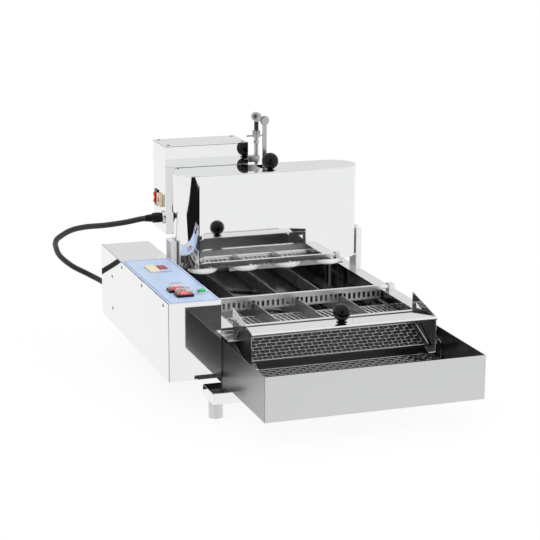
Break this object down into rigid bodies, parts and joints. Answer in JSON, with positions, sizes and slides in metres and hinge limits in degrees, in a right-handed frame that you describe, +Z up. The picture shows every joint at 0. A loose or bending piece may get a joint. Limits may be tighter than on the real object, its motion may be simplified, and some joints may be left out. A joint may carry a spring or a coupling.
{
  "type": "donut fryer",
  "caption": "Countertop automatic donut fryer: batter hopper with plungers over a laned oil tank, a flip comb, an exit scoop, a chute and collection tray with wire rack.",
  "frame": {"origin": "middle of the outline without the cable, at the bottom of the feet", "axes": "+X to the right seen from the tray, +Y from the tray to the head box, +Z up"},
  "size_m": [0.5866, 0.7886, 0.4635],
  "materials": {
    "polished_steel": "mirror-polished stainless sheet",
    "satin_steel": "fine brushed stainless steel",
    "dark_steel": "oxidised steel",
    "motor_paint": "matt grey paint",
    "black_plastic": "polished black plastic",
    "black_rubber": "smooth black cable sheath",
    "red_plastic": "translucent red plastic",
    "green_plastic": "translucent green plastic",
    "clear_plastic": "clear soft plastic",
    "white_plastic": "satin white food-grade plastic",
    "beige_plastic": "satin beige plastic",
    "display_red": "dark red window",
    "panel_print": "printed satin foil",
    "bright_chrome": "bright chrome plate"
  },
  "bodies": {
    "frame": {"foot_bars": "satin_steel", "base_rails": "satin_steel", "feet": "satin_steel", "tank_casing": "polished_steel", "oil_tank": "polished_steel", "heating_element": "dark_steel", "temperature_probe": "satin_steel", "lane_divider_1": "polished_steel", "lane_divider_2": "polished_steel", "lane_divider_3": "polished_steel", "comb_bearings": "satin_steel", "chute_ledges": "polished_steel", "control_box": "polished_steel", "control_side_cover": "polished_steel", "cover_screws": "satin_steel", "panel_overlay": "panel_print", "controller_bezel": "beige_plastic", "controller_display": "display_red", "switch_frames": "black_plastic", "switch_caps": "clear_plastic", "button_bezel": "bright_chrome", "comb_gearmotor": "motor_paint", "drive_chain": "dark_steel", "cable_gland": "black_plastic", "head_box": "polished_steel", "head_top_cover": "polished_steel", "head_switch_frame": "black_plastic", "counter_bezel": "beige_plastic", "counter_display": "display_red", "connector_socket": "bright_chrome", "connector_plug": "black_plastic", "link_cable": "black_rubber", "head_gearmotor": "motor_paint", "rod_guide": "polished_steel", "head_column": "polished_steel", "hopper": "polished_steel", "nozzles": "white_plastic", "hopper_posts": "polished_steel"},
    "flip_comb": {"flip_comb": "polished_steel", "flip_sprocket": "dark_steel"},
    "exit_scoop": {"exit_scoop": "polished_steel", "scoop_crank": "dark_steel"},
    "comb_motor_output": {"motor_sprocket": "dark_steel"},
    "chute": {"exit_chute": "polished_steel", "chute_mesh": "satin_steel", "chute_knob": "black_plastic"},
    "tray": {"tray": "satin_steel", "rack_floor": "satin_steel"},
    "power_rocker": {"power_rocker": "red_plastic"},
    "heat_rocker": {"heat_rocker": "red_plastic"},
    "head_rocker": {"head_rocker": "red_plastic"},
    "start_button": {"start_button": "green_plastic"},
    "lid": {"hopper_lid": "polished_steel", "lid_knob": "black_plastic"},
    "dispenser": {"plungers": "polished_steel", "drive_bar": "polished_steel", "link_pin": "polished_steel", "lift_rod": "polished_steel"},
    "stroke_nut": {"stroke_nut": "polished_steel"},
    "lift_lever": {"lift_lever": "dark_steel"}
  },
  "joints": [
    {"name": "comb_spin", "type": "hinge", "parent": "frame", "child": "flip_comb", "pos_m": [0.0486, 0.0325, 0.156], "axis": [1, 0, 0], "continuous": true},
    {"name": "scoop_lift", "type": "hinge", "parent": "frame", "child": "exit_scoop", "pos_m": [0.0486, -0.1015, 0.136], "axis": [1, 0, 0], "range_deg": [0, 115]},
    {"name": "motor_spin", "type": "hinge", "parent": "frame", "child": "comb_motor_output", "pos_m": [-0.1559, 0.1045, 0.11], "axis": [1, 0, 0], "continuous": true},
    {"name": "chute_lift", "type": "slide", "parent": "frame", "child": "chute", "axis": [0, 0, 1], "range_m": [0, 0.06]},
    {"name": "tray_slide", "type": "slide", "parent": "frame", "child": "tray", "axis": [0, -1, 0], "range_m": [0, 0.15]},
    {"name": "power_rocker_tilt", "type": "hinge", "parent": "frame", "child": "power_rocker", "pos_m": [-0.20654, -0.04425, 0.2026], "axis": [1, 0, 0], "range_deg": [-8, 8]},
    {"name": "heat_rocker_tilt", "type": "hinge", "parent": "frame", "child": "heat_rocker", "pos_m": [-0.2027, -0.0791, 0.2026], "axis": [1, 0, 0], "range_deg": [-8, 8]},
    {"name": "head_rocker_tilt", "type": "hinge", "parent": "frame", "child": "head_rocker", "pos_m": [-0.1379, 0.33062, 0.29556], "axis": [0, 1, 0], "range_deg": [-8, 8]},
    {"name": "start_press", "type": "slide", "parent": "frame", "child": "start_button", "axis": [0, 0, -1], "range_m": [0, 0.0022], "stiffness_N_per_m": 300, "springref_m": -0.002},
    {"name": "lid_lift", "type": "slide", "parent": "frame", "child": "lid", "axis": [0, 0, 1], "range_m": [0, 0.05]},
    {"name": "dispense_slide", "type": "slide", "parent": "frame", "child": "dispenser", "axis": [0, 0, 1], "range_m": [0, 0.022]},
    {"name": "stroke_nut_turn", "type": "hinge", "parent": "dispenser", "child": "stroke_nut", "pos_m": [0.0486, 0.2705, 0.42], "axis": [0, 0, 1], "continuous": true},
    {"name": "lift_lever_turn", "type": "hinge", "parent": "frame", "child": "lift_lever", "pos_m": [0.0486, 0.3291, 0.3], "axis": [-1, 0, 0], "range_deg": [0, 26]}
  ],
  "couplings": [
    {"joint": "motor_spin", "follows": "comb_spin", "ratio": 1},
    {"joint": "lift_lever_turn", "follows": "dispense_slide", "rad_per_m": 20}
  ]
}
